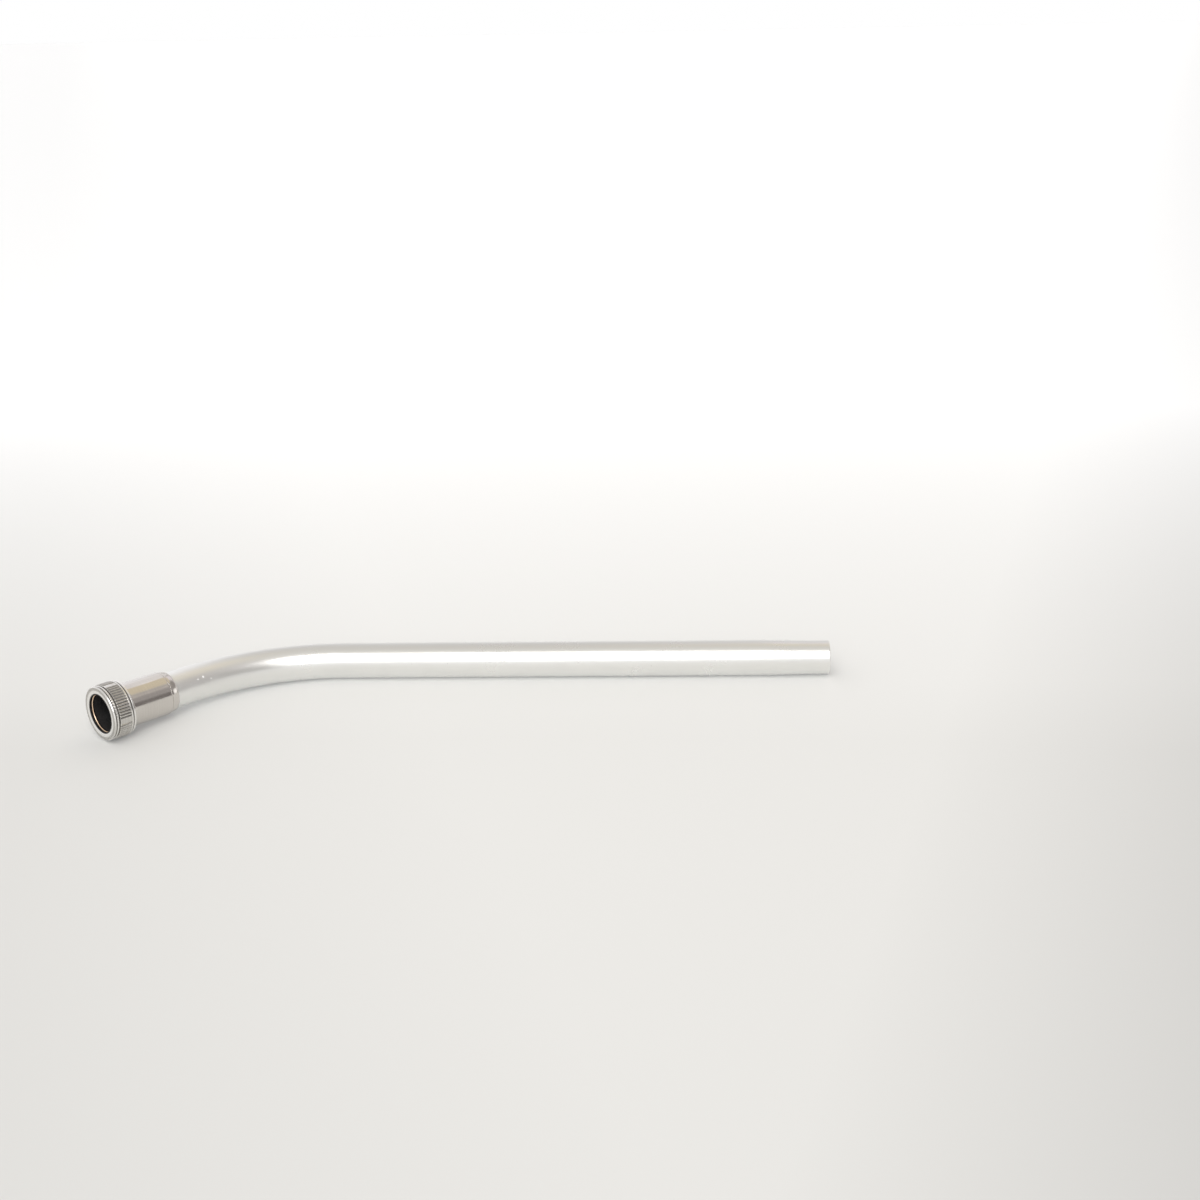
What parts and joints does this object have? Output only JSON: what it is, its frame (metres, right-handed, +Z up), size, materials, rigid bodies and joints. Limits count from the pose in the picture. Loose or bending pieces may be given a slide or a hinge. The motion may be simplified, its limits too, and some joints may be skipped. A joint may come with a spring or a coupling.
{
  "type": "vacuum wand",
  "caption": "Bent aluminium vacuum cleaner wand section with a tapered slip-fit end and a socket closed by a knurled compression nut.",
  "frame": {"origin": "middle of the footprint, on the floor the wand lies on", "axes": "+X along the straight part towards the slip-fit end, +Z up, the bent end leads towards -X and -Y"},
  "size_m": [0.7606, 0.1799, 0.0578],
  "materials": {
    "tube": "satin anodised drawn tube",
    "coupling_sleeve": "turned and lightly polished",
    "socket_liner": "smooth black moulded",
    "gland": "black rubber",
    "follower_ring": "bare copper coloured metal",
    "slip_washer": "smooth black turned",
    "coupling_nut": "turned and knurled"
  },
  "bodies": {
    "wand": {"tube": "tube", "coupling_sleeve": "coupling_sleeve", "socket_liner": "socket_liner", "gland": "gland"},
    "follower": {"follower_ring": "follower_ring", "slip_washer": "slip_washer"},
    "nut": {"coupling_nut": "coupling_nut"}
  },
  "joints": [
    {"name": "nut_travel", "type": "slide", "parent": "wand", "child": "follower", "axis": [-0.6574, -0.7515, 0.0554], "range_m": [-0.00075, 0.006]},
    {"name": "nut_turn", "type": "hinge", "parent": "follower", "child": "nut", "pos_m": [-0.3597, -0.07203, 0.02959], "axis": [-0.6574, -0.7515, 0.0554], "range_deg": [-180, 1440]}
  ],
  "couplings": [
    {"joint": "nut_travel", "follows": "nut_turn", "m_per_rad": 0.00023873}
  ]
}
